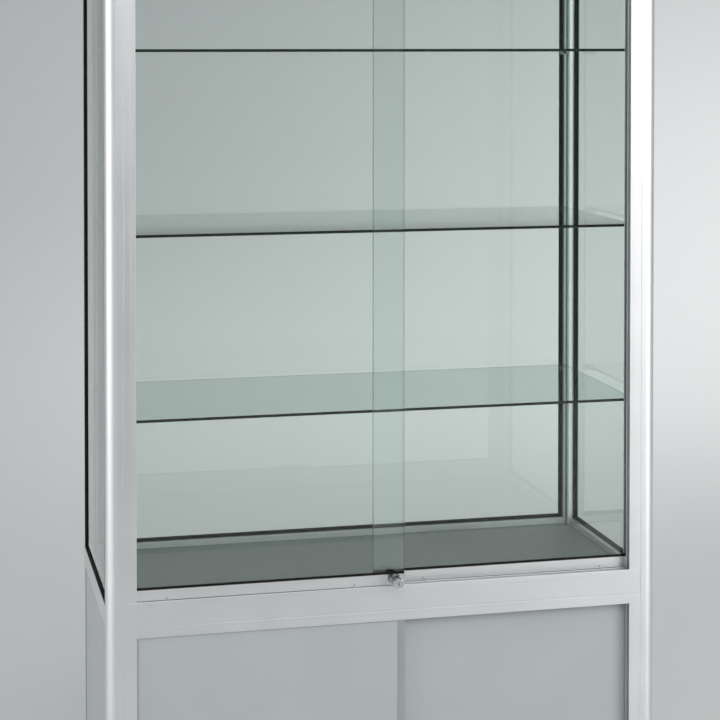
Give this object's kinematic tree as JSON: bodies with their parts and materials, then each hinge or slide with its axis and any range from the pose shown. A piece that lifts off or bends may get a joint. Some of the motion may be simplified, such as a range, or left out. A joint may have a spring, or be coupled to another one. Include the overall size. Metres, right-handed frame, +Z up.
{
  "type": "glass display showcase",
  "caption": "Upright aluminium-framed display case with glass shelves, lockable sliding glass doors and a sliding-door cabinet below.",
  "frame": {"origin": "on the floor, at the middle of the bounding box, whose front is the lock's face", "axes": "+Z up; the doors face -Y; +X to the right as seen from the front"},
  "size_m": [1, 0.4684, 1.9],
  "materials": {
    "anodised_aluminium": "satin silver anodised extrusion",
    "clear_glass": "polished clear float glass",
    "gasket_rubber": "matt black glazing rubber",
    "grey_board": "dark grey melamine-faced board",
    "light_board": "light grey melamine-faced board",
    "chrome_metal": "polished chrome",
    "roller_nylon": "moulded nylon",
    "pile": "black pile strip",
    "black_plastic": "moulded plastic",
    "grey_plastic": "moulded plastic"
  },
  "bodies": {
    "case": {"back_gasket": "gasket_rubber", "back_glass": "clear_glass", "bottom_rail_front": "anodised_aluminium", "bottom_rail_left": "anodised_aluminium", "bottom_rail_rear": "anodised_aluminium", "bottom_rail_right": "anodised_aluminium", "cabinet_floor": "grey_board", "cabinet_jamb_left": "anodised_aluminium", "cabinet_jamb_right": "anodised_aluminium", "cabinet_track_lower": "anodised_aluminium", "cabinet_track_upper": "anodised_aluminium", "cabinet_wall_left": "light_board", "cabinet_wall_rear": "light_board", "cabinet_wall_right": "light_board", "deck_panel": "grey_board", "feet": "black_plastic", "glass_jamb_left": "anodised_aluminium", "glass_jamb_right": "anodised_aluminium", "glass_track_lower": "anodised_aluminium", "glass_track_upper": "anodised_aluminium", "mid_rail_front": "anodised_aluminium", "mid_rail_left": "anodised_aluminium", "mid_rail_rear": "anodised_aluminium", "mid_rail_right": "anodised_aluminium", "pile_strips": "pile", "post_caps": "grey_plastic", "post_front_left": "anodised_aluminium", "post_front_right": "anodised_aluminium", "post_rear_left": "anodised_aluminium", "post_rear_right": "anodised_aluminium", "shelf_1": "clear_glass", "shelf_2": "clear_glass", "shelf_3": "clear_glass", "shelf_pins": "chrome_metal", "side_left_gasket": "gasket_rubber", "side_left_glass": "clear_glass", "side_right_gasket": "gasket_rubber", "side_right_glass": "clear_glass", "top_panel": "grey_board", "top_rail_front": "anodised_aluminium", "top_rail_left": "anodised_aluminium", "top_rail_rear": "anodised_aluminium", "top_rail_right": "anodised_aluminium"},
    "glass_door_left": {"door_pane_left": "clear_glass", "door_seal_left": "gasket_rubber", "door_shoe_left": "anodised_aluminium", "lock_housing": "chrome_metal"},
    "glass_door_right": {"door_pane_right": "clear_glass", "door_seal_right": "gasket_rubber", "door_shoe_right": "anodised_aluminium"},
    "cabinet_door_left": {"cabinet_door_left": "light_board", "cabinet_door_trims_left": "anodised_aluminium"},
    "cabinet_door_right": {"cabinet_door_right": "light_board", "cabinet_door_trims_right": "anodised_aluminium"},
    "lock_barrel": {"lock_barrel": "chrome_metal"},
    "lock_plug": {"lock_plug": "chrome_metal"},
    "roller_left_outer": {"roller_left_outer": "roller_nylon"},
    "roller_left_inner": {"roller_left_inner": "roller_nylon"},
    "roller_right_outer": {"roller_right_outer": "roller_nylon"},
    "roller_right_inner": {"roller_right_inner": "roller_nylon"}
  },
  "joints": [
    {"name": "glass_door_left_slide", "type": "slide", "parent": "case", "child": "glass_door_left", "axis": [1, 0, 0], "range_m": [0, 0.425]},
    {"name": "glass_door_right_slide", "type": "slide", "parent": "case", "child": "glass_door_right", "axis": [-1, 0, 0], "range_m": [0, 0.425]},
    {"name": "cabinet_door_left_slide", "type": "slide", "parent": "case", "child": "cabinet_door_left", "axis": [1, 0, 0], "range_m": [0, 0.425]},
    {"name": "cabinet_door_right_slide", "type": "slide", "parent": "case", "child": "cabinet_door_right", "axis": [-1, 0, 0], "range_m": [0, 0.425]},
    {"name": "lock_push", "type": "slide", "parent": "glass_door_left", "child": "lock_barrel", "axis": [0, 1, 0], "range_m": [0, 0.01]},
    {"name": "lock_turn", "type": "hinge", "parent": "lock_barrel", "child": "lock_plug", "pos_m": [0.008, -0.23425, 0.59255], "axis": [0, 1, 0], "range_deg": [0, 90]},
    {"name": "roller_left_outer_turn", "type": "hinge", "parent": "glass_door_left", "child": "roller_left_outer", "pos_m": [-0.397, -0.19725, 0.5866], "axis": [0, 1, 0], "range_deg": [0, 3480]},
    {"name": "roller_left_inner_turn", "type": "hinge", "parent": "glass_door_left", "child": "roller_left_inner", "pos_m": [-0.065, -0.19725, 0.5866], "axis": [0, 1, 0], "range_deg": [0, 3480]},
    {"name": "roller_right_outer_turn", "type": "hinge", "parent": "glass_door_right", "child": "roller_right_outer", "pos_m": [0.397, -0.18125, 0.5866], "axis": [0, -1, 0], "range_deg": [0, 3480]},
    {"name": "roller_right_inner_turn", "type": "hinge", "parent": "glass_door_right", "child": "roller_right_inner", "pos_m": [0.065, -0.18125, 0.5866], "axis": [0, -1, 0], "range_deg": [0, 3480]}
  ],
  "couplings": [
    {"joint": "roller_left_outer_turn", "follows": "glass_door_left_slide", "rad_per_m": 142.86},
    {"joint": "roller_left_inner_turn", "follows": "glass_door_left_slide", "rad_per_m": 142.86},
    {"joint": "roller_right_outer_turn", "follows": "glass_door_right_slide", "rad_per_m": 142.86},
    {"joint": "roller_right_inner_turn", "follows": "glass_door_right_slide", "rad_per_m": 142.86}
  ]
}
